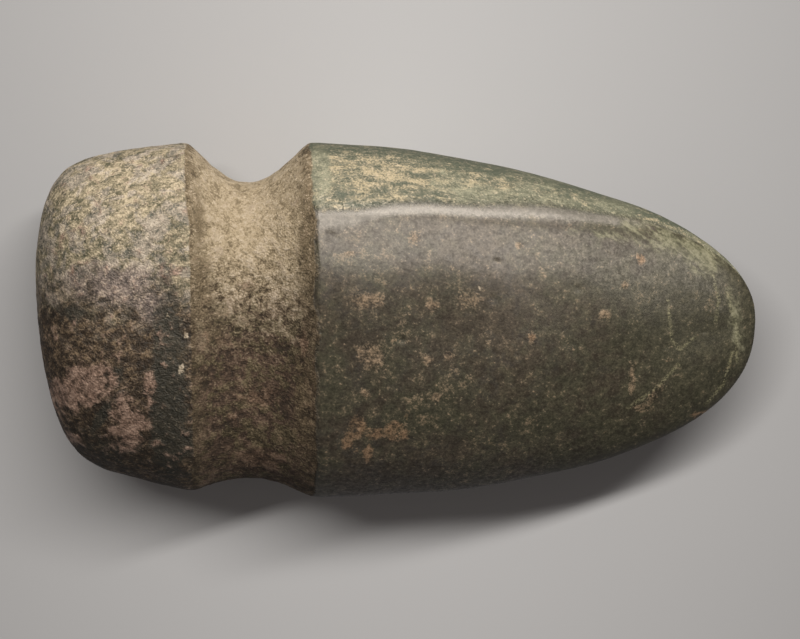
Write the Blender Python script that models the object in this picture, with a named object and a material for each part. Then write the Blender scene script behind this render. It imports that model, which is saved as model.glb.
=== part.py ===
"""A grooved and polished stone axe head, lying on one of its broad faces.

Frame, in metres: +X runs from the poll to the cutting edge, +Y towards the narrow side that the
haft groove cuts deepest, +Z up. The origin is under the middle of the outline, on the surface
that the axe lies on.

The stone is a row of closed sections along X. Each section is a rounded shape with a broad face
above and below and two long facets on each narrow side. The outline, the thickness and the groove
set how far a section reaches to each side.
"""

import math

import bmesh
import bpy
import numpy as np

# Overall sizes
LENGTH = 0.180
DEEP_SIDE_REACH = 0.0452        # from the axis of the stone to its narrow side at +Y, beside the groove
SHALLOW_SIDE_REACH = 0.0453     # the same at -Y, on the blade's side of the groove
POLL_SHALLOW_REACH = 0.0434     # the same at -Y, on the poll's side of the groove
BLADE_THICKNESS = 0.058
POLL_THICKNESS = 0.0565
POLL_LIFT = 0.009               # the middle of the poll's end stands this far towards +Y

# Haft groove, pecked all the way round
GROOVE_TO_POLL_END = 0.0532     # from the poll's end to the middle of the groove
GROOVE_WIDTH = 0.0305
GROOVE_DEPTH_DEEP_SIDE = 0.0099
GROOVE_DEPTH_SHALLOW_SIDE = 0.0035
GROOVE_DEPTH_FACE = 0.0060
GROOVE_BOW = 0.0028             # on the broad faces the groove stands this much nearer the blade
SIDE_LIP_ROUNDNESS = 1.40       # 1 gives a plain parabola, more gives softer lips
FACE_LIP_ROUNDNESS = 1.10

# Blade curves: a reach falls off as (1 - s ** swell) ** (1 / bluntness), s going from 0 to 1 at the edge
BLADE_DEEP_CURVE = (1.45, 2.2)
BLADE_SHALLOW_CURVE = (2.1, 2.4)
BLADE_THICKNESS_CURVE = (1.9, 1.3)

# Poll curves: share of the reach lost to taper by the end, bluntness of the end, sharpness of its corner
POLL_DEEP_CURVE = (0.16, 2.2, 8.0)
POLL_SHALLOW_CURVE = (0.20, 1.6, 8.0)
POLL_THICKNESS_CURVE = (0.12, 2.2, 3.6)
POLL_TAPER_BEND = 1.3           # 1 is a straight taper, more bends it

# Section
FACE_ROUNDNESS = 2.35           # 2 is an ellipse, more is squarer
DEEP_FACET_ANGLE = math.radians(33)      # the facet's slope away from square to Y
SHALLOW_FACET_ANGLE = math.radians(36)
CREST_SOFTNESS = 0.30           # of the reach, where the two facets of a side meet
RIDGE_SOFTNESS = 0.07           # of the reach, where a facet meets the face
GROOVE_SOFTNESS = 0.20          # of the reach, inside the groove, where facets fade out

# Resting
FLAT_DEPTH = 0.0015             # how much is ground off below, so that the stone doesn't roll

# Hand-dressed unevenness, from crossing waves: (turns along X, turns round the section, start)
SWELL_HEIGHT = 0.0004
SWELL_LENGTH = 0.055
SWELL_WAVES = ((1.0, 2, 0.0), (1.7, -3, 1.1), (0.6, 5, 2.3))
SWELL_FADE = 6                  # more keeps the unevenness closer to the ends

# Mesh
STATIONS = 60
RING = 52
CLOSE_STATIONS = 1.9            # how much closer the sections stand across the groove
FINE_STEPS = 4000               # steps used to measure the outline's length
SHARP_ANGLE = math.radians(35)


def blade_fall_off(share, curve):
    """Share of a reach that is left, at a share of the way from the groove to the cutting edge."""
    swell, bluntness = curve
    share = np.clip(share, 0.0, 1.0)
    return (1.0 - share ** swell) ** (1.0 / bluntness)


def poll_fall_off(share, curve):
    """Share of a reach that is left, at a share of the way from the groove to the poll's end."""
    taper, bluntness, corner = curve
    share = np.clip(share, 0.0, 1.0)
    return (1.0 - taper * share ** POLL_TAPER_BEND) * (1.0 - share ** corner) ** (1.0 / bluntness)


def places():
    """The X of the poll's end, the groove's two shoulders and the cutting edge."""
    poll_end = -LENGTH / 2
    groove = poll_end + GROOVE_TO_POLL_END
    return poll_end, groove - GROOVE_WIDTH / 2, groove + GROOVE_WIDTH / 2, LENGTH / 2


def reach_along(x, poll_reach, blade_reach, poll_curve, blade_curve):
    """A reach before the groove is cut: it falls off to each end and runs straight between the shoulders."""
    poll_end, poll_shoulder, blade_shoulder, blade_end = places()
    to_poll = (poll_shoulder - x) / (poll_shoulder - poll_end)
    to_blade = (x - blade_shoulder) / (blade_end - blade_shoulder)
    across = np.clip((x - poll_shoulder) / (blade_shoulder - poll_shoulder), 0.0, 1.0)
    middle = poll_reach + (blade_reach - poll_reach) * across
    return middle * poll_fall_off(to_poll, poll_curve) * blade_fall_off(to_blade, blade_curve)


def groove_share(x, lip_roundness, bow):
    """How much of the groove's depth is cut at x: a parabola with softened lips, 1 in the middle."""
    middle = -LENGTH / 2 + GROOVE_TO_POLL_END + bow
    across = (x - middle) / (GROOVE_WIDTH / 2)
    return np.clip(1.0 - across ** 2, 0.0, 1.0) ** lip_roundness


def side_groove(x):
    """The groove's share of depth on the two narrow sides."""
    return groove_share(x, SIDE_LIP_ROUNDNESS, 0.0)


def face_groove(x):
    """The groove's share of depth on the two broad faces."""
    return groove_share(x, FACE_LIP_ROUNDNESS, GROOVE_BOW)


def middle_line(x):
    """The Y that the sections are centred on: it rises towards the poll."""
    return POLL_LIFT * (0.5 - x / LENGTH)


def reaches(x):
    """How far the section at x reaches from its middle to +Y, to -Y and to each broad face."""
    lift = middle_line(x)
    deep = reach_along(x, DEEP_SIDE_REACH - lift, DEEP_SIDE_REACH - lift, POLL_DEEP_CURVE, BLADE_DEEP_CURVE)
    shallow = reach_along(x, POLL_SHALLOW_REACH + lift, SHALLOW_SIDE_REACH + lift,
                          POLL_SHALLOW_CURVE, BLADE_SHALLOW_CURVE)
    face = reach_along(x, POLL_THICKNESS / 2, BLADE_THICKNESS / 2,
                       POLL_THICKNESS_CURVE, BLADE_THICKNESS_CURVE)
    return (deep - GROOVE_DEPTH_DEEP_SIDE * side_groove(x),
            shallow - GROOVE_DEPTH_SHALLOW_SIDE * side_groove(x),
            face - GROOVE_DEPTH_FACE * face_groove(x))


def soft_min(a, b, softness):
    """The smaller of two distances, rounded where they are within the softness of each other."""
    overlap = np.clip(1.0 - np.abs(a - b) / softness, 0.0, None)
    return np.minimum(a, b) - overlap ** 2 * softness / 4


def to_line(distance, turned):
    """Distance out to a straight line, at an angle turned away from square to it, and far off past it."""
    nearly_along = 0.05
    return distance / np.maximum(np.cos(turned), nearly_along)


def section_radius(x, angle):
    """Distance from the middle line at x to the surface, at an angle from +Y towards +Z.

    A rounded oval first, then the two facets of each narrow side, each a straight line through
    that side's crest.
    """
    deep, shallow, face = reaches(x)
    along_y, along_z = np.cos(angle), np.sin(angle)
    side = np.where(along_y > 0, deep, shallow)
    oval = ((np.abs(along_y) / side) ** FACE_ROUNDNESS
            + (np.abs(along_z) / face) ** FACE_ROUNDNESS) ** (-1 / FACE_ROUNDNESS)
    ridge_share = RIDGE_SOFTNESS + (GROOVE_SOFTNESS - RIDGE_SOFTNESS) * face_groove(x)
    radius = oval
    for reach, slope, facing in ((deep, DEEP_FACET_ANGLE, 0.0), (shallow, SHALLOW_FACET_ANGLE, math.pi)):
        ridge, crest = ridge_share * reach, CREST_SOFTNESS * reach
        distance = (reach + ridge / 2 + crest / 4) * math.cos(slope)
        upper, lower = (to_line(distance, angle - facing - lean) for lean in (slope, -slope))
        radius = soft_min(radius, soft_min(upper, lower, crest), ridge)
    return radius


def swell(x, angle):
    """Slow rise and fall left by hand dressing: the mean of crossing waves, fading at both ends."""
    turn = 2 * math.pi * x / SWELL_LENGTH
    waves = sum(np.sin(along * turn + around * angle + start) for along, around, start in SWELL_WAVES)
    fade = 1.0 - np.abs(2 * x / LENGTH) ** SWELL_FADE
    return SWELL_HEIGHT * waves / len(SWELL_WAVES) * fade


def station_places():
    """X of each section, evenly spaced along the outline and closer across the groove."""
    fine = -LENGTH / 2 * np.cos(np.linspace(0.0, math.pi, FINE_STEPS + 1))
    deep, shallow, _ = reaches(fine)
    mean_reach = (deep + shallow) / 2
    step = np.hypot(np.diff(fine), np.diff(mean_reach))
    middles = (fine[1:] + fine[:-1]) / 2
    in_groove = face_groove(middles) > 0
    weighted = step * np.where(in_groove, CLOSE_STATIONS, 1.0)
    run = np.concatenate(([0.0], np.cumsum(weighted)))
    return np.interp(np.linspace(0.0, run[-1], STATIONS + 1), run, fine)[1:-1]


def surface_points(x, angle):
    """Points of the stone at each x and angle, with its middle height at zero."""
    radius = section_radius(x, angle) + swell(x, angle)
    y = middle_line(x) + radius * np.cos(angle)
    z = radius * np.sin(angle)
    return np.stack(np.broadcast_arrays(x, y, z), axis=-1)


def add_body(bm):
    """Rings of points joined by quads, closed by a fan at the poll and one at the cutting edge."""
    x = station_places()[:, None]
    angle = np.linspace(0.0, 2 * math.pi, RING, endpoint=False)[None, :]
    rings = [[bm.verts.new(point) for point in ring] for ring in surface_points(x, angle)]
    for ring, following in zip(rings, rings[1:]):
        for i in range(RING):
            j = (i + 1) % RING
            bm.faces.new((ring[i], ring[j], following[j], following[i]))
    for end, ring in ((-LENGTH / 2, rings[0]), (LENGTH / 2, rings[-1])):
        pole = bm.verts.new((end, middle_line(end), 0.0))
        for i in range(RING):
            bm.faces.new((pole, ring[i], ring[(i + 1) % RING]))
    bmesh.ops.recalc_face_normals(bm, faces=bm.faces)


def grind_resting_flat(bm):
    """Cut the lowest part of the lower face off flat and close the cut."""
    level = min(vertex.co.z for vertex in bm.verts) + FLAT_DEPTH
    everything = bm.verts[:] + bm.edges[:] + bm.faces[:]
    cut = bmesh.ops.bisect_plane(bm, geom=everything, plane_co=(0, 0, level), plane_no=(0, 0, -1),
                                 clear_outer=True)
    rim = [piece for piece in cut["geom_cut"] if isinstance(piece, bmesh.types.BMEdge)]
    bmesh.ops.holes_fill(bm, edges=rim)


def set_on_origin(bm):
    """Move the stone so that the middle of its outline is over the origin and its flat is at zero height."""
    corners = np.array([vertex.co[:] for vertex in bm.verts])
    low, high = corners.min(axis=0), corners.max(axis=0)
    middle = (low + high) / 2
    bmesh.ops.translate(bm, verts=bm.verts, vec=(-middle[0], -middle[1], -low[2]))


def stone_material():
    material = bpy.data.materials.new("mottled_greenstone")
    material.use_nodes = True
    shader = material.node_tree.nodes["Principled BSDF"]
    shader.inputs["Base Color"].default_value = (0.145, 0.125, 0.092, 1.0)
    shader.inputs["Roughness"].default_value = 0.42
    shader.inputs["Metallic"].default_value = 0.0
    return material


def make_axe_head():
    bm = bmesh.new()
    add_body(bm)
    grind_resting_flat(bm)
    set_on_origin(bm)
    mesh = bpy.data.meshes.new("axe_head")
    bm.to_mesh(mesh)
    bm.free()
    mesh.materials.append(stone_material())
    mesh.shade_smooth()
    mesh.set_sharp_from_angle(angle=SHARP_ANGLE)
    head = bpy.data.objects.new("axe_head", mesh)
    bpy.context.scene.collection.objects.link(head)


for leftover in list(bpy.data.objects):
    bpy.data.objects.remove(leftover, do_unlink=True)
make_axe_head()
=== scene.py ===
import math

import bpy
import numpy as np
from mathutils import Matrix, Vector


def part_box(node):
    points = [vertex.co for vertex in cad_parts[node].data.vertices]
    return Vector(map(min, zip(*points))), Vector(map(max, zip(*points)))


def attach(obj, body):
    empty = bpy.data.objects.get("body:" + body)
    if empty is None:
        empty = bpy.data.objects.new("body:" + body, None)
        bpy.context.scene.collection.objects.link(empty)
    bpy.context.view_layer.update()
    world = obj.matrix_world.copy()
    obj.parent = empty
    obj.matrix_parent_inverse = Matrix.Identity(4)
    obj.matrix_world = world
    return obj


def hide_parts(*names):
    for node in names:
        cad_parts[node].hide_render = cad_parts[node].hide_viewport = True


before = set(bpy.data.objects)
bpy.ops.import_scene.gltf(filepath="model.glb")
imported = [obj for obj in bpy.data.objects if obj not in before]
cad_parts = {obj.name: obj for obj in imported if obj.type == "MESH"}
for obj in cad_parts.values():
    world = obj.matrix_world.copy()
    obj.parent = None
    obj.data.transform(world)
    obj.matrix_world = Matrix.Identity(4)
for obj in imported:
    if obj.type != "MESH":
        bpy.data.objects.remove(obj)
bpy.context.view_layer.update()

lowCorner, highCorner = (np.array(corner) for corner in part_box("axe_head"))
millimetre = 0.001


# The stone's form, in metres, as the solid has it. The sections run along X, poll to cutting edge.
form = {
    "length": 0.180,
    "deepSideReach": 0.0452,        # middle line to the narrow side at +Y
    "shallowSideReach": 0.0453,     # the same at -Y, blade side of the groove
    "pollShallowReach": 0.0434,     # the same at -Y, poll side of the groove
    "bladeThickness": 0.058,
    "pollThickness": 0.0565,
    "pollLift": 0.009,              # how far the poll's end stands towards +Y
    "grooveToPollEnd": 0.0532,
    "grooveWidth": 0.0305,
    "grooveDepthDeepSide": 0.0099,
    "grooveDepthShallowSide": 0.0035,
    "grooveDepthFace": 0.0060,
    "grooveBow": 0.0028,            # the groove stands this much nearer the blade on the faces
    "sideLip": 1.40,                # more gives softer lips
    "faceLip": 1.02,                # a little crisper than the solid's
    "bladeDeepCurve": (1.45, 2.2),  # swell and bluntness, as bladeFallOff takes them
    "bladeShallowCurve": (2.1, 2.4),
    "bladeThicknessCurve": (1.9, 1.3),
    "pollDeepCurve": (0.16, 2.2, 8.0),      # taper, bluntness and corner, as pollFallOff takes them
    "pollShallowCurve": (0.20, 1.6, 8.0),
    "pollThicknessCurve": (0.12, 2.2, 3.6),
    "pollTaperBend": 1.3,
    "faceRoundness": 2.35,          # 2 is an ellipse, more is squarer
    "deepFacetAngle": math.radians(33),
    "shallowFacetAngle": math.radians(36),
    "crestSoftness": 0.30,
    "ridgeSoftness": 0.07,
    "grooveSoftness": 0.20,
    "flatDepth": 0.0015,            # how far the lowest points lie under the floor, before they are cut level
    "swellHeight": 0.0004,
    "swellLength": 0.055,
    "swellWaves": ((1.0, 2, 0.0), (1.7, -3, 1.1), (0.6, 5, 2.3)),
    "swellFade": 6,
    "stations": 326,                # rings, and points on each
    "ring": 296,
}

# The photo's viewpoint: where its camera stands and which pixel looks at the stone's middle.
view = {
    "tilt": math.radians(12),       # leaning from straight above towards +Y
    "distance": 0.75,
    "lens": 134.9,
    "sensor": 36.0,
    "imageWidth": 800,
    "imageHeight": 639,
    "slideRight": 0.00094,
    "slideUp": 0.000375,
    "stoneRow": 321,                # the row of pixels through the stone's middle
    "facingBlend": (-0.12, 0.04),   # marks fade where the surface turns away from the camera
    "clip": (0.01, 20.0),
}


def bladeFallOff(share, curve):
    # (1 - s^swell)^(1/bluntness), s from the groove to the cutting edge
    swell, bluntness = curve
    share = np.clip(share, 0.0, 1.0)
    return (1.0 - share ** swell) ** (1.0 / bluntness)


def pollFallOff(share, curve):
    # (1 - taper * s^bend) * (1 - s^corner)^(1/bluntness), s from the groove to the poll's end
    taper, bluntness, corner = curve
    share = np.clip(share, 0.0, 1.0)
    return (1.0 - taper * share ** form["pollTaperBend"]) * (1.0 - share ** corner) ** (1.0 / bluntness)


pollEnd = -form["length"] / 2
bladeEnd = form["length"] / 2
grooveMiddle = pollEnd + form["grooveToPollEnd"]
pollShoulder = grooveMiddle - form["grooveWidth"] / 2
bladeShoulder = grooveMiddle + form["grooveWidth"] / 2


def reachAlong(x, pollReach, bladeReach, pollCurve, bladeCurve):
    # a reach before the groove: falls off to both ends, straight between the shoulders
    toPoll = (pollShoulder - x) / (pollShoulder - pollEnd)
    toBlade = (x - bladeShoulder) / (bladeEnd - bladeShoulder)
    across = np.clip((x - pollShoulder) / (bladeShoulder - pollShoulder), 0.0, 1.0)
    middle = pollReach + (bladeReach - pollReach) * across
    return middle * pollFallOff(toPoll, pollCurve) * bladeFallOff(toBlade, bladeCurve)


def grooveShare(x, lip, bow):
    # (1 - across^2)^lip inside the groove, 0 outside
    across = (x - grooveMiddle - bow) / (form["grooveWidth"] / 2)
    return np.clip(1.0 - across ** 2, 0.0, 1.0) ** lip


def middleLine(x):
    # lift * (0.5 - x / length), half of the lift towards +Y at the poll's end
    return form["pollLift"] * (0.5 - x / form["length"])


def reaches(x):
    # reach to +Y, to -Y and to each face, each less its own groove
    lift = middleLine(x)
    deep = reachAlong(x, form["deepSideReach"] - lift, form["deepSideReach"] - lift,
                      form["pollDeepCurve"], form["bladeDeepCurve"])
    shallow = reachAlong(x, form["pollShallowReach"] + lift, form["shallowSideReach"] + lift,
                         form["pollShallowCurve"], form["bladeShallowCurve"])
    face = reachAlong(x, form["pollThickness"] / 2, form["bladeThickness"] / 2,
                      form["pollThicknessCurve"], form["bladeThicknessCurve"])
    sideGroove = grooveShare(x, form["sideLip"], 0.0)
    faceGroove = grooveShare(x, form["faceLip"], form["grooveBow"])
    return (deep - form["grooveDepthDeepSide"] * sideGroove,
            shallow - form["grooveDepthShallowSide"] * sideGroove,
            face - form["grooveDepthFace"] * faceGroove)


def softMin(a, b, softness):
    # min(a, b), less overlap^2 * softness / 4 where the two are close
    overlap = np.clip(1.0 - np.abs(a - b) / softness, 0.0, None)
    return np.minimum(a, b) - overlap ** 2 * softness / 4


def toLine(distance, turned):
    # distance / cos(turned), kept finite past a quarter turn
    nearlyAlong = 0.05
    return distance / np.maximum(np.cos(turned), nearlyAlong)


def sectionRadius(x, angle):
    # a superellipse, cut by the two facets of each narrow side: the soft minimum of
    # (|cos / side|^power + |sin / face|^power)^(-1/power) and the distances to the facets
    deep, shallow, face = reaches(x)
    alongY, alongZ = np.cos(angle), np.sin(angle)
    side = np.where(alongY > 0, deep, shallow)
    power = form["faceRoundness"]
    oval = ((np.abs(alongY) / side) ** power + (np.abs(alongZ) / face) ** power) ** (-1 / power)
    inGroove = grooveShare(x, form["faceLip"], form["grooveBow"])
    ridgeShare = form["ridgeSoftness"] + (form["grooveSoftness"] - form["ridgeSoftness"]) * inGroove
    radius = oval
    for reach, slope, facing in ((deep, form["deepFacetAngle"], 0.0),
                                 (shallow, form["shallowFacetAngle"], math.pi)):
        ridge, crest = ridgeShare * reach, form["crestSoftness"] * reach
        distance = (reach + ridge / 2 + crest / 4) * math.cos(slope)
        upper, lower = (toLine(distance, angle - facing - lean) for lean in (slope, -slope))
        radius = softMin(radius, softMin(upper, lower, crest), ridge)
    return radius


def swellOf(x, angle):
    # height * the mean of three crossing sine waves * (1 - |2x / length|^fade)
    turn = 2 * math.pi * x / form["swellLength"]
    waves = sum(np.sin(along * turn + around * angle + start) for along, around, start in form["swellWaves"])
    fade = 1.0 - np.abs(2 * x / form["length"]) ** form["swellFade"]
    return form["swellHeight"] * waves / len(form["swellWaves"]) * fade


def stationPlaces(count):
    # x of each ring, evenly spaced along the outline, whose length is a sum of small straight steps
    smallSteps = 8001
    fine = -form["length"] / 2 * np.cos(np.linspace(0.0, math.pi, smallSteps))
    deep, shallow, face = reaches(fine)
    step = np.sqrt(np.diff(fine) ** 2 + np.diff((deep + shallow) / 2) ** 2)
    run = np.concatenate(([0.0], np.cumsum(step)))
    return np.interp(np.linspace(0.0, run[-1], count + 1), run, fine)[1:-1]


def smoothStep(value, low, high):
    # 0 below low, 1 above high, 3t^2 - 2t^3 between
    t = np.clip((value - low) / (high - low), 0.0, 1.0)
    return t * t * (3.0 - 2.0 * t)


def scattered(cell, seed):
    # a repeatable number from 0 to 1 for each whole-number cell: products with large primes, folded
    # together and mixed by shifts
    mixed = (cell[..., 0] * 73856093) ^ (cell[..., 1] * 19349663) ^ (cell[..., 2] * 83492791)
    mixed = (mixed + seed * 982451653) & 0xFFFFFFFF
    mixed = ((mixed ^ (mixed >> 16)) * 0x45D9F3B) & 0xFFFFFFFF
    mixed = ((mixed ^ (mixed >> 16)) * 0x45D9F3B) & 0xFFFFFFFF
    return ((mixed ^ (mixed >> 16)) & 0xFFFFFF) / 0xFFFFFF


def roll(points, size, seed):
    # smooth noise from -1 to 1: random slopes at lattice corners, blended with 6t^5 - 15t^4 + 10t^3
    gain = 1.6
    place = points / size
    corner = np.floor(place).astype(np.int64)
    part = place - corner
    fade = part ** 3 * (part * (part * 6 - 15) + 10)
    total = np.zeros(points.shape[:-1])
    for dx in (0, 1):
        for dy in (0, 1):
            for dz in (0, 1):
                offset = np.array((dx, dy, dz))
                cell = corner + offset
                slope = np.stack([scattered(cell, seed + k) for k in range(3)], axis=-1) * 2 - 1
                weight = np.prod(np.where(offset == 1, fade, 1 - fade), axis=-1)
                total += weight * np.sum(slope * (part - offset), axis=-1)
    return np.clip(total * gain, -1.0, 1.0)


def layered(points, size, octaves, seed):
    # roll, plus half as much at half the size, and so on
    total = sum(roll(points, size / 2 ** k, seed + 17 * k) / 2 ** k for k in range(octaves))
    return total / sum(1 / 2 ** k for k in range(octaves))


def pits(points, size, share, seed):
    # round hollows, one in a share of the lattice cells: 1 in the middle, 0 at the rim, each with its
    # own middle and radius
    place = points / size
    corner = np.floor(place).astype(np.int64)
    deepest = np.zeros(points.shape[:-1])
    for dx in (-1, 0, 1):
        for dy in (-1, 0, 1):
            for dz in (-1, 0, 1):
                cell = corner + np.array((dx, dy, dz))
                aside = np.stack([scattered(cell, seed + k) for k in range(3)], axis=-1)
                middle = cell + 0.2 + 0.6 * aside
                radius = 0.35 + 0.35 * scattered(cell, seed + 5)
                there = scattered(cell, seed + 7) < share
                away = np.sqrt(np.sum((place - middle) ** 2, axis=-1)) / radius
                hollow = np.where(there, smoothStep(-away, -1.0, 0.1), 0.0)
                deepest = np.maximum(deepest, hollow)
    return deepest


# Grid of the whole stone: rings across X, with one point at each end.
stationX = stationPlaces(form["stations"])[:, None]
ringAngle = np.linspace(0.0, 2 * math.pi, form["ring"], endpoint=False)[None, :]
radius = sectionRadius(stationX, ringAngle) + swellOf(stationX, ringAngle)
grid = np.stack(np.broadcast_arrays(stationX, middleLine(stationX) + radius * np.cos(ringAngle),
                                    radius * np.sin(ringAngle)), axis=-1)
poleLow = np.array((pollEnd, middleLine(pollEnd), 0.0))
poleHigh = np.array((bladeEnd, middleLine(bladeEnd), 0.0))
level = grid[..., 2].min() + form["flatDepth"]
middleY = (grid[..., 1].min() + grid[..., 1].max()) / 2
seat = np.array((0.0, (lowCorner[1] + highCorner[1]) / 2 - middleY, lowCorner[2] - level))
grid, poleLow, poleHigh = grid + seat, poleLow + seat, poleHigh + seat
stoneMiddle = (lowCorner + highCorner) / 2
print("grid laid out:", grid.shape[0], "rings of", grid.shape[1])


def outward(grid):
    # unit normals: the cross product of the two grid directions
    alongX = np.gradient(grid, axis=0)
    around = (np.roll(grid, -1, axis=1) - np.roll(grid, 1, axis=1)) / 2
    normal = np.cross(around, alongX)
    return normal / np.linalg.norm(normal, axis=-1, keepdims=True)


normal = outward(grid)
if np.sum(normal * (grid - stoneMiddle)) < 0:
    normal = -normal


# The photo's camera, as four arrows.
toCamera = np.array((0.0, math.sin(view["tilt"]), math.cos(view["tilt"])))
imageUp = np.array((0.0, math.cos(view["tilt"]), -math.sin(view["tilt"])))
imageRight = np.array((1.0, 0.0, 0.0))
eye = (stoneMiddle + toCamera * view["distance"]
       + imageRight * view["slideRight"] + imageUp * view["slideUp"])


def photoPlace(points):
    # where points fall in the photo, in pixels from its top left corner: middle + scale * aside / depth
    away = points - eye
    deep = -(away @ toCamera)
    scale = view["lens"] / view["sensor"] * view["imageWidth"]
    return (view["imageWidth"] / 2 + scale * (away @ imageRight) / deep,
            view["imageHeight"] / 2 - scale * (away @ imageUp) / deep)


pixelX, pixelY = photoPlace(grid)
facing = np.sum(normal * (eye - grid), axis=-1) / np.linalg.norm(eye - grid, axis=-1)
seen = smoothStep(facing, *view["facingBlend"])
turnedY = 2 * view["stoneRow"] - pixelY             # the underside borrows the marks turned over


def patch(places):
    # soft ellipses in the photo: strength * (rim - distance in shares of the ellipse), strongest wins
    rim, undersideShare = 1.35, 0.75
    total = np.zeros(pixelX.shape)
    for x, y, wide, high, lean, strength in places:
        c, s = math.cos(math.radians(lean)), math.sin(math.radians(lean))
        here = 0.0
        for py, share in ((pixelY, seen), (turnedY, undersideShare * (1 - seen))):
            across, down = pixelX - x, py - y
            away = np.hypot((across * c + down * s) / wide, (down * c - across * s) / high)
            here = here + share * np.clip(strength * (rim - away), 0.0, 1.0)
        total = np.maximum(total, here)
    return total


def alongLines(lines):
    # distance in pixels to the nearest of several bent lines, with none on the underside
    farAway = 30.0
    nearest = np.full(pixelX.shape, farAway)
    for points in lines:
        for (ax, ay), (bx, by) in zip(points, points[1:]):
            px, py = pixelX - ax, pixelY - ay
            lengthSquared = (bx - ax) ** 2 + (by - ay) ** 2
            share = np.clip((px * (bx - ax) + py * (by - ay)) / lengthSquared, 0.0, 1.0)
            nearest = np.minimum(nearest, np.hypot(px - share * (bx - ax), py - share * (by - ay)))
    return np.where(seen > 0.5, nearest, farAway)


# Marks seen in the photo: x, y, half width, half height, lean in degrees, strength
marks = {
    "tan": [
        (368, 300, 20, 9, 0, 1.0), (433, 305, 9, 6, 0, 1.0), (370, 357, 15, 13, 0, 1.0),
        (428, 360, 5, 5, 0, 1.2), (448, 355, 5, 5, 0, 1.0), (530, 338, 5, 4, 0, 1.0),
        (366, 393, 5, 5, 0, 1.0), (436, 397, 5, 5, 0, 1.0), (415, 238, 7, 8, 0, 0.9),
        (350, 253, 8, 3, 0, 1.0), (520, 245, 4, 4, 0, 1.3), (641, 260, 5, 6, 0, 1.3),
        (625, 285, 4, 5, 0, 1.1), (605, 315, 7, 6, 0, 1.0), (655, 395, 6, 14, 40, 1.2),
        (632, 380, 4, 22, 0, 0.9), (640, 408, 14, 5, 0, 0.9), (532, 340, 6, 6, 0, 0.8),
        (470, 300, 18, 10, 0, 0.5), (100, 335, 60, 45, 0, 0.6), (140, 330, 30, 20, 0, 0.6),
    ],
    "orange": [
        (357, 428, 9, 13, 15, 1.6), (396, 432, 13, 11, 0, 1.6), (349, 440, 6, 11, 20, 1.4),
        (368, 455, 5, 9, 0, 1.4), (376, 434, 16, 6, -8, 1.3), (408, 418, 5, 9, 0, 0.9),
        (641, 260, 5, 6, 0, 1.7), (532, 338, 4, 5, 0, 1.2), (700, 414, 14, 4, -20, 0.8),
    ],
    "cream": [
        (365, 170, 70, 22, 3, 1.1), (470, 186, 50, 12, 8, 0.7), (560, 200, 60, 12, 10, 0.5),
        (326, 194, 10, 6, 0, 2.0), (120, 190, 75, 40, -8, 0.75), (174, 180, 15, 24, 0, 1.5),
        (120, 170, 50, 16, -12, 1.0), (115, 234, 58, 15, 0, 0.8), (700, 250, 30, 20, 45, 0.3),
    ],
    "pink": [
        (80, 388, 34, 20, -22, 1.5), (128, 426, 21, 28, 22, 0.95), (149, 388, 7, 24, 0, 0.7),
        (68, 438, 18, 7, 10, 0.8), (250, 270, 25, 25, 0, 0.6), (245, 350, 20, 20, 0, 0.4),
    ],
    "dark": [
        (168, 395, 19, 100, 0, 1.6), (72, 314, 30, 12, -8, 0.6), (100, 418, 7, 20, 25, 1.3),
        (118, 372, 8, 12, 0, 0.9), (110, 450, 60, 26, 10, 0.6), (185, 450, 30, 40, 0, 0.6),
        (168, 166, 18, 11, -5, 0.35), (484, 286, 17, 6, 0, 0.9), (491, 268, 5, 4, 0, 0.9),
        (412, 324, 12, 7, 0, 0.6), (600, 272, 9, 5, 0, 0.5), (352, 330, 8, 18, 10, 0.5),
        (560, 372, 26, 10, -10, 0.4),
    ],
    "purple": [
        (112, 286, 60, 24, 0, 1.0), (150, 303, 30, 28, 0, 0.8), (330, 290, 20, 40, 0, 0.6),
    ],
    "green": [
        (715, 330, 60, 120, -10, 1.0), (560, 200, 120, 18, 8, 0.7), (420, 420, 60, 40, 0, 0.6),
        (520, 420, 100, 50, 0, 0.6), (330, 400, 20, 90, 0, 0.8), (319, 172, 11, 30, 0, 1.3),
    ],
    # partly a pale green patina, partly painted sheen on the bit; the last mark is painted light filling the
    # shade under the ridge
    "patina": [
        (660, 235, 46, 15, 20, 0.65), (702, 253, 28, 20, 48, 0.8), (735, 320, 8, 40, -8, 0.6),
        (606, 236, 44, 6, 8, 0.5),
    ],
    "brown": [
        (309, 240, 13, 95, 0, 0.85), (302, 410, 11, 70, 0, 0.8), (199, 215, 7, 40, 0, 0.7),
        (201, 290, 13, 42, 0, 0.9), (215, 330, 18, 26, 0, 0.7), (240, 160, 40, 8, 0, 0.5),
    ],
    "rust": [
        (260, 397, 24, 12, 5, 0.9), (262, 460, 26, 11, 5, 1.0), (303, 345, 5, 16, 0, 0.9),
        (232, 418, 8, 5, 0, 0.8), (225, 340, 20, 9, 0, 0.45), (247, 285, 14, 8, 0, 0.5),
    ],
    "border": [
        (301, 388, 10, 78, 0, 1.0),
    ],
    "pale": [
        (61, 229, 2.5, 5, 10, 2.2), (181, 370, 3, 5, 20, 1.8), (186, 336, 3, 3, 0, 1.6),
        (480, 288, 2, 2, 30, 1.5),
    ],
}
veins = [
    [(668, 300), (672, 340), (680, 350), (694, 338)],
    [(678, 365), (655, 390), (628, 408)],
    [(704, 236), (709, 254), (716, 270)],
    [(713, 274), (719, 300), (716, 322)],
    [(727, 292), (737, 330), (737, 362)],
    [(733, 352), (724, 384), (706, 405)],
]

print("marks placed")


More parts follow.
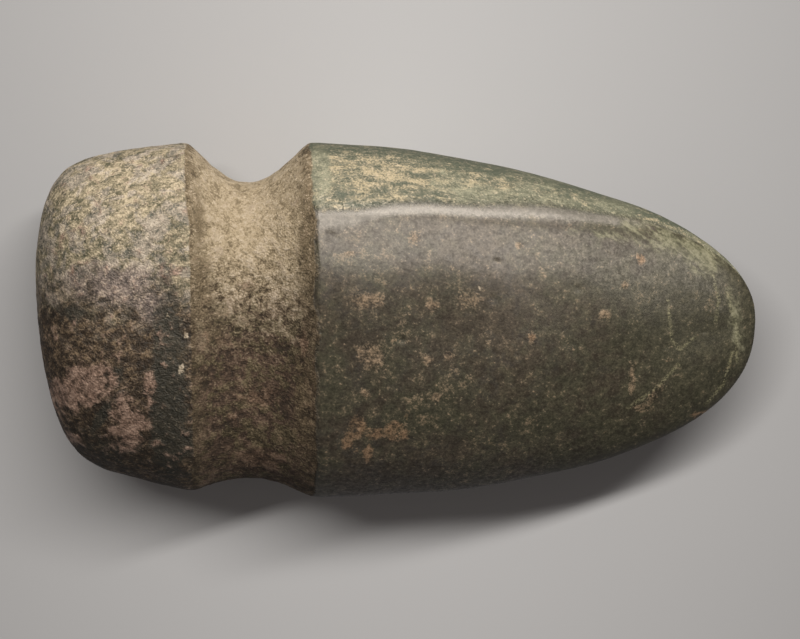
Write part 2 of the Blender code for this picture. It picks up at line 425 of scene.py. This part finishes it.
# Relief, in metres
relief = {
    "pollRoll": 0.00028, "pollRollSize": 0.0042,
    "pollPits": 0.00026, "pollPitSize": 0.0019, "pollPitShare": 0.55,
    "grooveRoll": 0.00030, "grooveRollSize": 0.0035,
    "groovePits": 0.00026, "groovePitSize": 0.0016, "groovePitShare": 0.7,
    "bladeRoll": 0.00006, "bladeRollSize": 0.009,
    "bladePits": 0.00012, "bladePitSize": 0.0022, "bladePitShare": 0.06,
    "stripRoll": 0.00010,
    "dents": 0.00045,
    "dentPlaces": [                 # as in marks
        (330, 236, 9, 6, 15, 1.0), (497, 262, 4, 3, 0, 0.7), (610, 250, 4, 3, 30, 0.6),
        (402, 340, 4, 3, 0, 0.6),
    ],
    "edgeWander": 0.0009, "edgeWanderSize": 0.006,
    "skin": 0.00006,                # everything lies this far inside the solid's faces
}

# Zones of the surface: metres along X, and degrees of tilt, 0 on a face and 90 on the +Y crest
zones = {
    "grooveBowBend": 1.5,
    "grooveEdge": (-0.0003, 0.0006),
    "grooveRead": 6.0,              # the colours know the groove's edge this many millimetres around
    "ridgePlaces": (-0.020, -0.010, 0.000, 0.015, 0.030, 0.060),
    "ridgeTilts": (26.0, 30.0, 37.0, 40.0, 44.5, 48.5),     # where the worn ridge with its painted highlight begins, at those places
    "ridgeMiddle": 2.5, "ridgeHalf": 11.0,
    "ridgeStrengths": ((-0.020, 0.010), (1.6, 1.0)),        # stronger beside the groove: more painted highlight there
    "ridgeFade": (0.050, 0.074),
    "stripRelief": 8.0,             # the narrow side's relief is whole this far past the ridge
    "stripColour": (1.0, 14.0),     # and its colour between these
    "rim": (58.0, 76.0),            # its far part, with fewer cream flecks: painted shade where it turns from the light
    "lee": (20.0, 55.0),            # the narrow side at -Y, with less polish
}

edgeNoise = layered(grid, relief["edgeWanderSize"], 3, 11)
# the groove stands further to the blade on the faces than on the narrow sides
faceShare = np.abs(normal[..., 2]) ** zones["grooveBowBend"]
grooveAt = grooveMiddle + form["grooveBow"] * faceShare
grooveIn = form["grooveWidth"] / 2 - np.abs(grid[..., 0] - grooveAt) + edgeNoise * relief["edgeWander"]
inGroove = smoothStep(grooveIn, *zones["grooveEdge"])
onPoll = np.where(grid[..., 0] < grooveAt, 1.0 - inGroove, 0.0)
onBlade = np.where(grid[..., 0] >= grooveAt, 1.0 - inGroove, 0.0)
sideTilt = np.degrees(np.arctan2(normal[..., 1], np.abs(normal[..., 2])))
ridgeTilt = np.interp(grid[..., 0], zones["ridgePlaces"], zones["ridgeTilts"])
strip = smoothStep(sideTilt, ridgeTilt, ridgeTilt + zones["stripRelief"]) * onBlade

depth = relief["skin"] + np.zeros(grid.shape[:-1])
depth += onPoll * relief["pollRoll"] * (1 + layered(grid, relief["pollRollSize"], 4, 23))
depth += onPoll * relief["pollPits"] * pits(grid, relief["pollPitSize"], relief["pollPitShare"], 31)
depth += inGroove * relief["grooveRoll"] * (1 + layered(grid, relief["grooveRollSize"], 4, 41))
depth += inGroove * relief["groovePits"] * pits(grid, relief["groovePitSize"], relief["groovePitShare"], 53)
depth += onBlade * relief["bladeRoll"] * (1 + layered(grid, relief["bladeRollSize"], 3, 61))
depth += onBlade * relief["bladePits"] * pits(grid, relief["bladePitSize"], relief["bladePitShare"], 71)
depth += strip * relief["stripRoll"] * (1 + layered(grid, relief["pollRollSize"], 3, 83))
depth += onBlade * relief["dents"] * patch(relief["dentPlaces"])
print("relief worked out")

fields = {name: patch(places) for name, places in marks.items()}
fields["vein"] = alongLines(veins)
fields["grooveIn"] = np.clip(grooveIn / millimetre, -zones["grooveRead"], zones["grooveRead"])
fields["pollSide"] = np.where(grid[..., 0] < grooveAt, 1.0, 0.0)
stripFrom, stripTo = zones["stripColour"]
fields["strip"] = smoothStep(sideTilt, ridgeTilt + stripFrom, ridgeTilt + stripTo)
fields["rim"] = smoothStep(sideTilt, *zones["rim"])
fields["lee"] = smoothStep(-sideTilt, *zones["lee"])
offRidge = np.abs(sideTilt - ridgeTilt - zones["ridgeMiddle"])
fields["ridge"] = ((1 - smoothStep(offRidge, 0.0, zones["ridgeHalf"])) * onBlade
                   * np.interp(grid[..., 0], *zones["ridgeStrengths"])
                   * (1 - smoothStep(grid[..., 0], *zones["ridgeFade"])))

stoneGrid = grid - normal * depth[..., None]
stoneGrid[..., 2] = np.maximum(stoneGrid[..., 2], lowCorner[2])
stoneGrid = np.clip(stoneGrid, lowCorner, highCorner)
poleLow = np.clip(poleLow + np.array((relief["skin"], 0, 0)), lowCorner, highCorner)
poleHigh = np.clip(poleHigh - np.array((relief["skin"], 0, 0)), lowCorner, highCorner)


def closedMesh(name, rings, first, last):
    # quads between neighbouring rings, a fan to one point at each end
    count, around = rings.shape[:2]
    points = np.concatenate((rings.reshape(-1, 3), first[None], last[None]))
    i, j = np.meshgrid(np.arange(count - 1), np.arange(around), indexing="ij")
    nextJ = (j + 1) % around
    here, beyond = i * around, (i + 1) * around
    quads = np.stack((here + j, here + nextJ, beyond + nextJ, beyond + j), axis=-1).reshape(-1, 4)
    j = np.arange(around)
    nextJ = (j + 1) % around
    firstFan = np.stack((np.full(around, count * around), nextJ, j), axis=-1)
    base = (count - 1) * around
    lastFan = np.stack((np.full(around, count * around + 1), base + j, base + nextJ), axis=-1)
    mesh = bpy.data.meshes.new(name)
    mesh.from_pydata(points.tolist(), [], quads.tolist() + firstFan.tolist() + lastFan.tolist())
    mesh.polygons.foreach_set("use_smooth", np.ones(len(mesh.polygons), dtype=bool))
    mesh.update()
    return mesh


def addField(mesh, name, values):
    # one number for each point, with the two end points taking their ring's mean
    flat = np.concatenate((values.reshape(-1), [values[0].mean()], [values[-1].mean()])).astype(np.float32)
    mesh.attributes.new(name, "FLOAT", "POINT").data.foreach_set("value", flat)


stoneMesh = closedMesh("stone_axe_head", stoneGrid, poleLow, poleHigh)
sampleStep = 400
outwardSum = sum(p.area * np.dot(p.normal, np.array(p.center) - stoneMiddle)
                 for p in list(stoneMesh.polygons)[::sampleStep])
if outwardSum < 0:
    stoneMesh.flip_normals()
for name, values in fields.items():
    addField(stoneMesh, name, values)
stone = bpy.data.objects.new("stone_axe_head", stoneMesh)
bpy.context.scene.collection.objects.link(stone)
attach(stone, "root")
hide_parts("axe_head")
print("stone mesh made:", len(stoneMesh.polygons), "faces")


class Socket:
    # Wraps a node's output, so that arithmetic on it adds Math nodes.
    def __init__(self, tree, out=None):
        self.tree, self.out = tree, out

    def node(self, kind, settings=None, inputs=None, output=0):
        # adds a node: its settings first, then the values and links of its sockets
        made = self.tree.nodes.new(kind)
        for name, value in (settings or {}).items():
            if name == "stops":
                ramp = made.color_ramp
                while len(ramp.elements) < len(value):
                    ramp.elements.new(0.5)
                for element, (place, colour) in zip(ramp.elements, value):
                    element.position, element.color = place, colour
            else:
                setattr(made, name, value)
        for name, value in (inputs or {}).items():
            if isinstance(value, Socket):
                self.tree.links.new(value.out, made.inputs[name])
            else:
                made.inputs[name].default_value = value
        return Socket(self.tree, made.outputs[output])

    def maths(self, operation, first, second=0.0, clamp=False):
        settings = {"operation": operation, "use_clamp": clamp}
        return self.node("ShaderNodeMath", settings, {0: first, 1: second})

    def __add__(self, other):
        return self.maths("ADD", self, other)

    def __radd__(self, other):
        return self.maths("ADD", other, self)

    def __sub__(self, other):
        return self.maths("SUBTRACT", self, other)

    def __rsub__(self, other):
        return self.maths("SUBTRACT", other, self)

    def __mul__(self, other):
        return self.maths("MULTIPLY", self, other)

    def __rmul__(self, other):
        return self.maths("MULTIPLY", other, self)

    def limit(self):
        return self.maths("ADD", self, 0.0, clamp=True)

    def larger(self, other):
        return self.maths("MAXIMUM", self, other)

    def above(self, low, high):
        # smooth step from 0 at low to 1 at high
        settings = {"interpolation_type": "SMOOTHSTEP"}
        return self.node("ShaderNodeMapRange", settings, {0: self, 1: low, 2: high})

    def spread(self, low, high):
        # straight line from 0 at low to 1 at high
        return self.node("ShaderNodeMapRange", {}, {0: self, 1: low, 2: high})

    def mixed(self, other, share):
        # this colour turned into the other by a share
        return self.node("ShaderNodeMix", {"data_type": "RGBA"}, {0: share, 6: self, 7: other}, 2)


# Colours are linear red, green, blue: the dark, the middle and the light of one zone
finish = {
    "bladeBrown": ((0.022, 0.0175, 0.0115, 1), (0.0385, 0.0315, 0.0213, 1), (0.067, 0.053, 0.036, 1)),
    "bladeGreen": ((0.022, 0.0222, 0.0135, 1), (0.0375, 0.0368, 0.0222, 1), (0.061, 0.058, 0.0355, 1)),
    "bladeGrey": ((0.025, 0.0215, 0.019, 1), (0.0415, 0.036, 0.031, 1), (0.067, 0.057, 0.048, 1)),
    "tanFleck": ((0.085, 0.064, 0.042, 1), (0.158, 0.116, 0.076, 1), (0.260, 0.195, 0.133, 1)),
    "orangeFleck": ((0.080, 0.052, 0.030, 1), (0.175, 0.114, 0.066, 1), (0.270, 0.180, 0.112, 1)),
    "vein": ((0.080, 0.080, 0.044, 1), (0.160, 0.156, 0.092, 1), (0.245, 0.238, 0.148, 1)),
    # pale green patina, partly painted sheen
    "patina": ((0.076, 0.080, 0.050, 1), (0.140, 0.143, 0.093, 1), (0.208, 0.208, 0.147, 1)),
    # pale worn edge, partly wear and partly painted highlight along the ridge
    "wornEdgeAndHighlight": ((0.116, 0.113, 0.102, 1), (0.152, 0.147, 0.134, 1), (0.192, 0.185, 0.169, 1)),
    "strip": ((0.066, 0.079, 0.057, 1), (0.138, 0.136, 0.097, 1), (0.330, 0.288, 0.192, 1)),
    "stripGreen": ((0.096, 0.104, 0.073, 1), (0.148, 0.156, 0.112, 1), (0.228, 0.232, 0.168, 1)),
    # poll tones: the pale ones towards +Y are partly painted light, the dark lower ones partly painted shade
    "pollCream": ((0.066, 0.066, 0.041, 1), (0.198, 0.176, 0.120, 1), (0.410, 0.360, 0.258, 1)),
    "pollGrey": ((0.078, 0.081, 0.066, 1), (0.235, 0.211, 0.173, 1), (0.385, 0.350, 0.297, 1)),
    "pollLower": ((0.013, 0.009, 0.0052, 1), (0.039, 0.027, 0.0165, 1), (0.170, 0.125, 0.079, 1)),
    "purple": ((0.056, 0.046, 0.044, 1), (0.158, 0.128, 0.118, 1), (0.330, 0.280, 0.242, 1)),
    "pink": ((0.066, 0.043, 0.031, 1), (0.198, 0.134, 0.103, 1), (0.345, 0.250, 0.200, 1)),
    "band": ((0.017, 0.017, 0.0125, 1), (0.0275, 0.026, 0.0188, 1), (0.044, 0.039, 0.028, 1)),
    # groove tones: the upper ones partly painted light, the lower ones and the ochre of the lips partly
    # painted shade
    "grooveUpper": ((0.060, 0.044, 0.0225, 1), (0.266, 0.224, 0.153, 1), (0.392, 0.346, 0.280, 1)),
    "grooveLower": ((0.0215, 0.014, 0.009, 1), (0.058, 0.0375, 0.0255, 1), (0.132, 0.092, 0.068, 1)),
    "grooveOlive": ((0.020, 0.0165, 0.008, 1), (0.054, 0.044, 0.0225, 1), (0.120, 0.099, 0.058, 1)),
    "rust": ((0.032, 0.0195, 0.012, 1), (0.094, 0.060, 0.040, 1), (0.182, 0.124, 0.090, 1)),
    "ochre": ((0.032, 0.0235, 0.0125, 1), (0.088, 0.067, 0.038, 1), (0.158, 0.124, 0.078, 1)),
    "ochreLower": ((0.021, 0.015, 0.008, 1), (0.054, 0.040, 0.023, 1), (0.106, 0.081, 0.050, 1)),
    "paleChip": ((0.300, 0.250, 0.180, 1), (0.440, 0.380, 0.290, 1), (0.560, 0.500, 0.400, 1)),
    "indexOfRefraction": 1.45,
    "polish": 0.80,
    "polishRoughness": 0.25,
    "bladeRoughness": 0.44,
    "stripRoughness": 0.50,
    "pollRoughness": 0.55,
    "grooveRoughness": 0.88,
    "bump": 0.9, "bumpDistance": 0.0010,
    # size of each noise, in metres
    "coarse": 0.016, "broad": 0.007, "hue": 0.0048, "middling": 0.0032, "fleck": 0.0019, "fine": 0.0011,
    "grain": 0.0005, "streak": 0.0019, "slant": 0.0016, "sweep": 0.0015,
    # a sum of noises goes from dark to light over these
    "usualSpread": (0.43, 0.57), "pollSpread": (0.43, 0.58), "grooveSpread": (0.435, 0.565),
    "speckleSpread": (0.40, 0.60),
    # where a zone begins and is whole, in millimetres: the first along X, the others towards +Y, where they
    # lay on painted light from +Y (wholly on the blade's body, partly on the poll and groove)
    "weatheredReach": (20.0, 62.0), "paintedLightReach": (0.0, 13.0), "pollPaleAndLitReach": (1.0, 20.0),
    "paleAndLitReach": (-5.0, 23.0), "smootherReach": (8.0, 26.0),
}


def stoneMaterial():
    # a dark clouded body, then the flecks and grain of each zone, then single marks
    material = bpy.data.materials.new("mottled_greenstone_worn")
    material.use_nodes = True
    tree = material.node_tree
    shader = tree.nodes["Principled BSDF"]
    shader.inputs["IOR"].default_value = finish["indexOfRefraction"]
    shader.inputs["Coat Roughness"].default_value = finish["polishRoughness"]
    make = Socket(tree)
    place = make.node("ShaderNodeTexCoord", output="Object")
    towardsBit = make.node("ShaderNodeSeparateXYZ", {}, {"Vector": place}, "X") * (1 / millimetre)
    towardsY = make.node("ShaderNodeSeparateXYZ", {}, {"Vector": place}, "Y") * (1 / millimetre)
    read = {name: make.node("ShaderNodeAttribute", {"attribute_name": name}, output="Fac") for name in fields}

    def turned(angles, factors=(1, 1, 1), kind="POINT"):
        # the place, turned by the angles and stretched by the factors
        return make.node("ShaderNodeMapping", {"vector_type": kind},
                         {"Vector": place, "Rotation": angles, "Scale": factors})

    def noise(name, detail, rough, twist, at=place):
        # clouds around 0.5, of the size that the finish gives
        return make.node("ShaderNodeTexNoise", {}, {"Vector": at, "Scale": 1 / finish[name], "Detail": detail,
                                                    "Roughness": rough, "Distortion": twist})

    def tones(name, share):
        # dark at 0, middle at 0.5, light at 1
        stops = tuple(zip((0.0, 0.5, 1.0), finish[name]))
        return make.node("ShaderNodeValToRGB", {"stops": stops}, {"Fac": share})

    coarse = noise("coarse", 4.0, 0.5, 0.3)
    broad = noise("broad", 4.0, 0.55, 0.5, turned((0.5, 0.2, 0.9)))
    middling = noise("middling", 4.0, 0.6, 0.4, turned((1.5, 0.7, 0.1)))
    fleck = noise("fleck", 4.0, 0.66, 0.35, turned((0.3, 1.1, 0.4)))
    fine = noise("fine", 3.0, 0.6, 0.2)
    grain = noise("grain", 2.0, 0.6, 0.0, turned((0.2, 0.9, 0.4)))
    hue = noise("hue", 4.0, 0.6, 0.6, turned((0.9, 1.4, 0.6)))
    speckle = fine * 0.5 + grain * 0.5
    speckleTone = speckle.spread(*finish["speckleSpread"])
    usual, onPollSpread, inGrooveSpread = finish["usualSpread"], finish["pollSpread"], finish["grooveSpread"]

    # body: brown, green and grey clouds under one fine mottling, greener towards the cutting edge, and
    # slightly lighter towards +Y: painted light
    weathered = towardsBit.above(*finish["weatheredReach"])
    mottle = (broad * 0.06 + middling * 0.22 + fleck * 0.26 + fine * 0.22 + grain * 0.24
              + towardsY.above(*finish["paintedLightReach"]) * 0.014 - weathered * 0.016
              - read["dark"] * 0.035).spread(*usual)
    greyShare = (hue + read["purple"] * 0.10 - weathered * 0.06).above(0.50, 0.60) * 0.6
    greenShare = (coarse * 0.35 + hue * 0.2 + middling * 0.25 + speckle * 0.2 + read["green"] * 0.07
                  + weathered * 0.055).above(0.44, 0.61)
    body = tones("bladeBrown", mottle).mixed(tones("bladeGrey", mottle), greyShare)
    body = body.mixed(tones("bladeGreen", mottle), greenShare)

    # blade: soft tan flecks in clusters, veins, and a pale worn ridge that is partly painted highlight
    cluster = (coarse - 0.5) * 0.18 + (broad - 0.5) * 0.16 + read["tan"] * 0.15 - weathered * 0.03
    tanFlecks = (fleck * 0.35 + middling * 0.25 + speckle * 0.40 + cluster).spread(0.545, 0.675)
    bladeColour = body.mixed(tones("tanFleck", speckleTone), tanFlecks * 0.8)
    orangeFlecks = (hue * 0.5 + fleck * 0.25 + speckle * 0.25 + read["orange"] * 0.19).spread(0.60, 0.72)
    bladeColour = bladeColour.mixed(tones("orangeFleck", speckleTone), orangeFlecks * 0.8)
    specks = (grain * 0.5 + fine * 0.3 + fleck * 0.2 + read["tan"] * 0.02).spread(0.59, 0.66)
    bladeColour = bladeColour.mixed(finish["tanFleck"][2], specks * (0.45 - weathered * 0.2))
    nearVein = 1 - (read["vein"] + (fine - 0.5) * 7 + (middling - 0.5) * 6).above(0.1, 2.9)
    onVein = nearVein * (middling * 0.4 + speckle * 0.6).above(0.42, 0.56) * 0.75
    bladeColour = bladeColour.mixed(tones("vein", speckleTone), onVein)
    wornAndHighlight = (read["ridge"] + (speckle - 0.5) * 0.9).above(0.15, 1.0)
    wornAndHighlightTone = (speckle * 0.6 + fleck * 0.4).spread(0.42, 0.58)
    bladeColour = bladeColour.mixed(tones("wornEdgeAndHighlight", wornAndHighlightTone), wornAndHighlight * 0.8)

    # narrow side: weathered, with cream flecks drawn out along the stone, and beside it a pale green patina
    # that is partly painted sheen
    streak = noise("streak", 4.0, 0.64, 0.5, turned((0, 0, 0.05), (0.38, 1, 1)))
    # the far part of the narrow side (rim) is painted darker: painted shade
    creamTone = (streak * 0.38 + middling * 0.10 + fleck * 0.14 + fine * 0.14 + grain * 0.24
                 + (read["cream"] - 0.35) * 0.035 - read["rim"] * 0.05
                 - (1 - read["strip"].above(0.35, 1.0)) * 0.035 - weathered * 0.016).spread(*usual)
    greenSide = (read["green"] + (middling - 0.5) * 2 + (coarse - 0.5) * 3).above(0.1, 0.9)
    stripColour = tones("strip", creamTone).mixed(tones("stripGreen", creamTone), greenSide)
    onStrip = (read["strip"] + (speckle - 0.5) * 0.9 + (fleck - 0.5) * 0.6).above(0.15, 0.95)
    bladeColour = bladeColour.mixed(stripColour, onStrip)
    sweep = noise("sweep", 4.0, 0.64, 0.5, turned((0, 0, -0.65), (3.0, 1, 1), "TEXTURE"))
    clouding = ((middling - 0.5) * 1.6 + (sweep - 0.5) * 2.4) * (0.25 + read["patina"])
    patina = (read["patina"] + clouding).above(0.12, 0.9) * 0.75
    patinaAndSheenTone = (sweep * 0.5 + speckle * 0.5).spread(*usual)
    bladeColour = bladeColour.mixed(tones("patina", patinaAndSheenTone), patina)

    # poll: pecked, flecked pale towards +Y and dark below, partly its own colour and partly painted light
    # from +Y and painted shade below, with purple, dark and pink patches
    slant = noise("slant", 4.0, 0.64, 0.4, turned((0, 0, 0.42), (2.4, 1, 1), "TEXTURE"))
    pollMottle = slant * 0.34 + middling * 0.14 + fleck * 0.18 + fine * 0.12 + grain * 0.22
    pollTone = pollMottle.spread(*onPollSpread)
    pollUpper = (towardsY + (broad - 0.5) * 34 + (middling - 0.5) * 20).above(*finish["pollPaleAndLitReach"])
    paleTone = (pollMottle + (broad - 0.5) * 0.10 + (read["cream"] - 0.3) * 0.02).spread(*usual)
    creamy = (hue + read["cream"] * 0.06).above(0.46, 0.58)
    palePoll = tones("pollGrey", paleTone).mixed(tones("pollCream", paleTone), creamy)
    pollColour = tones("pollLower", (pollMottle + read["tan"] * 0.02).spread(*onPollSpread))
    pollColour = pollColour.mixed(palePoll, pollUpper)
    onPurple = (read["purple"] * 0.7 + (broad - 0.5) * 1.2 + (middling - 0.5)).above(0.1, 0.7) * 0.85
    pollColour = pollColour.mixed(tones("purple", pollTone), onPurple)
    onBand = (read["dark"] * 0.7 + (middling - 0.5) * 1.6 + (broad - 0.5)).above(0.1, 0.6)
    pollColour = pollColour.mixed(tones("band", pollTone), onBand)
    onPink = (read["pink"] * 0.7 + (middling - 0.5) * 1.8 + (fleck - 0.5)).above(0.1, 0.6)
    pollColour = pollColour.mixed(tones("pink", pollMottle.spread(*usual)), onPink)

    # groove: pecked and matt, paler towards the narrow side at +Y, partly its own colour and partly painted
    # light from there, with ochre near its lips that is partly painted shade where the walls turn aside
    pecked = broad * 0.14 + middling * 0.22 + fleck * 0.22 + fine * 0.18 + grain * 0.24
    peckedTone, ochreTone = pecked.spread(*inGrooveSpread), pecked.spread(*usual)
    paleAndLit = (towardsY + (middling - 0.5) * 20 + (broad - 0.5) * 12
                + (speckle - 0.5) * 26).above(*finish["paleAndLitReach"])
    smoother = towardsY.above(*finish["smootherReach"])
    olive = (hue * 0.5 + fleck * 0.3 + fine * 0.2).above(0.47, 0.55) * 0.85
    grooveColour = tones("grooveLower", peckedTone).mixed(tones("grooveOlive", peckedTone), olive)
    paleAndLitTone = ochreTone * (1 - smoother * 0.35) + smoother * 0.19
    grooveColour = grooveColour.mixed(tones("grooveUpper", paleAndLitTone), paleAndLit)
    nearLip = 1 - (read["grooveIn"] + (middling - 0.5) * 9 + (hue - 0.5) * 9).above(0.2, 4.8)
    brown = (read["brown"] + (middling - 0.5) * 2.2 + (speckle - 0.5) * 1.5).above(0.15, 0.85)
    ochreColour = tones("ochreLower", ochreTone).mixed(tones("ochre", ochreTone),
                                                       paleAndLit.larger(read["border"] * 0.75))
    grooveColour = grooveColour.mixed(ochreColour, nearLip.larger(brown) * 0.85)
    rusty = (read["rust"] * 0.9 + (middling - 0.5) * 1.8 + (fleck - 0.5) * 1.2).above(0.2, 0.8) * 0.75
    grooveColour = grooveColour.mixed(tones("rust", peckedTone), rusty)

    # the three together, with pale chips, and pale sparkling specks on what is rough: partly crystal grains,
    # partly painted glints, thicker on the poll towards +Y
    onGroove = (read["grooveIn"] + (fine - 0.5) * 0.9).above(-0.35, 0.45)
    stoneColour = bladeColour.mixed(pollColour, read["pollSide"]).mixed(grooveColour, onGroove)
    onChip = (read["pale"] + (speckle - 0.5) * 1.6).above(0.35, 0.9) * 0.7
    stoneColour = stoneColour.mixed(tones("paleChip", speckleTone), onChip)
    rough = read["pollSide"].larger(onGroove).larger(onStrip * 0.6)
    sparkle = (grain * 0.55 + fine * 0.45 + read["cream"] * 0.045).spread(0.575, 0.68)
    stoneColour = stoneColour.mixed(finish["paleChip"][1], sparkle * rough * (0.2 + pollUpper * 0.6))
    tree.links.new(stoneColour.out, shader.inputs["Base Color"])

    # roughness by zone, and a clear polish on the blade alone
    roughness = (finish["bladeRoughness"] + onStrip * (finish["stripRoughness"] - finish["bladeRoughness"])
                 + (speckle - 0.5) * 0.30 + tanFlecks * 0.12)
    roughness = roughness + read["pollSide"] * (finish["pollRoughness"] - roughness)
    roughness = roughness + onGroove * (finish["grooveRoughness"] - roughness)
    tree.links.new(roughness.out, shader.inputs["Roughness"])
    polish = (finish["polish"] + ((speckle - 0.5) * 3.0 + (fleck - 0.5) * 1.2) * (1 - read["ridge"] * 0.7)
              - tanFlecks * 0.45 - patina * 0.6 - read["strip"] * 0.6 - weathered * 0.5 - read["lee"] * 0.5)
    polish = (polish * (1 - read["pollSide"].larger(onGroove))).limit()
    tree.links.new(polish.out, shader.inputs["Coat Weight"])

    # bump: every grain on what is rough, hardly any on the polished blade
    height = ((0.03 + rough * 0.97) * (grain * 0.35 + fleck * 0.85 + middling * 0.7)
              + grain * 0.04 + tanFlecks * 0.04)
    bump = make.node("ShaderNodeBump", {}, {"Height": height, "Strength": finish["bump"],
                                            "Distance": finish["bumpDistance"]})
    tree.links.new(bump.out, shader.inputs["Normal"])
    return material


stoneMesh.materials.append(stoneMaterial())
print("stone finished")


# Floor and surroundings
studio = {
    # the floor's colour is a painted pool of light: floorColour at floorBrightest, darkening to
    # floorEdgeColour over floorFade
    "floorColour": (0.62, 0.598, 0.576, 1),
    "floorEdgeColour": (0.31, 0.299, 0.288, 1),
    "floorBrightest": (0.0, 0.015, 0.0), "floorStretch": (1, 0.5, 1), "floorFade": 0.22,
    "floorRoughness": 0.9, "floorShine": 0.2,
    "floorHalf": 1.6,
    "worldColour": (1.0, 0.95, 0.95, 1),
    "worldStrength": 0.125,
}

# Lights: the overhead one reaches the floor alone, the other two the stone alone
lamps = {
    "overhead": {"power": 16.5, "place": (0.06, 0.65, 1.10), "size": (1.25, 0.10),
                 "roll": math.radians(17), "colour": (1, 1, 1)},
    "panel": {"power": 31.0, "place": (0.45, 0.62, 1.03), "size": (2.6, 0.95),
              "roll": 0.0, "colour": (1.0, 0.90, 0.79)},
    "key": {"power": 16.5, "place": (0.0, 1.14, 0.46), "size": (1.5, 0.40),
            "roll": math.radians(25), "colour": (1.0, 0.90, 0.79)},
}


def makeFloor():
    # a square sheet whose colour goes to the edge colour with the stretched distance / fade: a painted pool
    # of light, brightest at its middle
    half = studio["floorHalf"]
    mesh = bpy.data.meshes.new("floor")
    corners = [(-half, -half, 0), (half, -half, 0), (half, half, 0), (-half, half, 0)]
    mesh.from_pydata(corners, [], [(0, 1, 2, 3)])
    material = bpy.data.materials.new("floor_paper")
    material.use_nodes = True
    shader = material.node_tree.nodes["Principled BSDF"]
    make = Socket(material.node_tree)
    place = make.node("ShaderNodeTexCoord", output="Object")
    stretched = make.node("ShaderNodeMapping", {}, {"Vector": place, "Scale": studio["floorStretch"]})
    away = make.node("ShaderNodeVectorMath", {"operation": "DISTANCE"},
                     {0: stretched, 1: studio["floorBrightest"]}, 1)
    brightest = make.node("ShaderNodeRGB")
    brightest.out.default_value = studio["floorColour"]
    colour = brightest.mixed(studio["floorEdgeColour"], away.spread(0.0, studio["floorFade"]))
    material.node_tree.links.new(colour.out, shader.inputs["Base Color"])
    shader.inputs["Roughness"].default_value = studio["floorRoughness"]
    shader.inputs["Specular IOR Level"].default_value = studio["floorShine"]
    mesh.materials.append(material)
    floor = bpy.data.objects.new("floor", mesh)
    bpy.context.scene.collection.objects.link(floor)
    return floor


def makeLight(name, lights):
    # a rectangular soft light for one piece: its face turned to the stone, its length along X, then rolled
    lamp = lamps[name]
    data = bpy.data.lights.new(name, "AREA")
    data.energy, data.shape, data.color = lamp["power"], "RECTANGLE", lamp["colour"]
    data.size, data.size_y = lamp["size"]
    light = bpy.data.objects.new(name, data)
    light.location = lamp["place"]
    back = (Vector(lamp["place"]) - Vector(stoneMiddle)).normalized()
    along = (Vector((1, 0, 0)) - back * back.x).normalized()
    light.rotation_euler = Matrix((along, back.cross(along), back)).transposed().to_euler()
    light.rotation_euler.rotate_axis("Z", lamp["roll"])
    bpy.context.scene.collection.objects.link(light)
    reached = bpy.data.collections.new(name + "_reaches")
    reached.objects.link(lights)
    light.light_linking.receiver_collection = reached


def makeCamera():
    # the photo's camera, at the eye and leaning by the view's tilt
    data = bpy.data.cameras.new("camera")
    data.lens, data.sensor_width, data.sensor_fit = view["lens"], view["sensor"], "HORIZONTAL"
    data.clip_start, data.clip_end = view["clip"]
    camera = bpy.data.objects.new("camera", data)
    camera.location = eye.tolist()
    camera.rotation_euler = (-view["tilt"], 0.0, 0.0)
    bpy.context.scene.collection.objects.link(camera)
    bpy.context.scene.camera = camera


floor = makeFloor()
floor.visible_glossy = False        # the polish mirrors no floor
makeLight("overhead", floor)
makeLight("panel", stone)
makeLight("key", stone)
makeCamera()
world = bpy.data.worlds.new("studio")
world.use_nodes = True
world.node_tree.nodes["Background"].inputs["Color"].default_value = studio["worldColour"]
world.node_tree.nodes["Background"].inputs["Strength"].default_value = studio["worldStrength"]
bpy.context.scene.world = world
bpy.context.scene.view_settings.view_transform = "Standard"
print("studio set")
